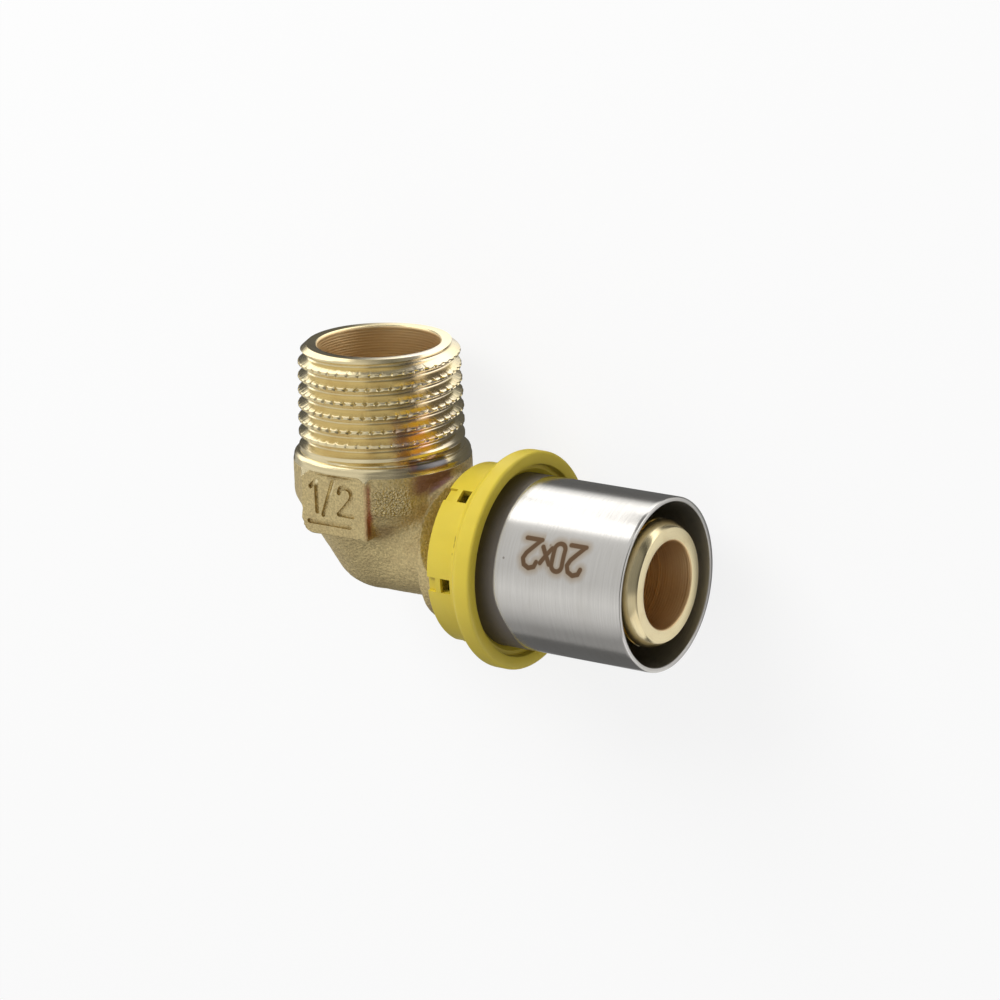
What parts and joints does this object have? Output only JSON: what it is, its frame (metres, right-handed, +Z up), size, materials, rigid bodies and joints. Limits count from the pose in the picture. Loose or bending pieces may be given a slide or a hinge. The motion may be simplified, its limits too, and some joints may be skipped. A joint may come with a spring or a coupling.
{
  "type": "male threaded press elbow",
  "caption": "Right-angle pipe fitting with a tapered male thread on one end and a grooved spigot inside a press sleeve, held by a moulded ring, on the other.",
  "frame": {"origin": "the point where the spigot axis and the thread axis cross", "axes": "+X along the spigot towards its open end, +Y along the thread towards its open end, +Z up, square to both, with the fitting lying on its side"},
  "size_m": [0.0535, 0.0394, 0.0276],
  "materials": {
    "brass_body": "blasted forging, turned ends",
    "inner_seal_ring": "matte",
    "outer_seal_ring": "matte",
    "press_sleeve": "drawn and brushed",
    "moulded_ring": "satin"
  },
  "bodies": {
    "root": {"brass_body": "brass_body", "inner_seal_ring": "inner_seal_ring", "outer_seal_ring": "outer_seal_ring", "press_sleeve": "press_sleeve", "moulded_ring": "moulded_ring"}
  },
  "joints": []
}
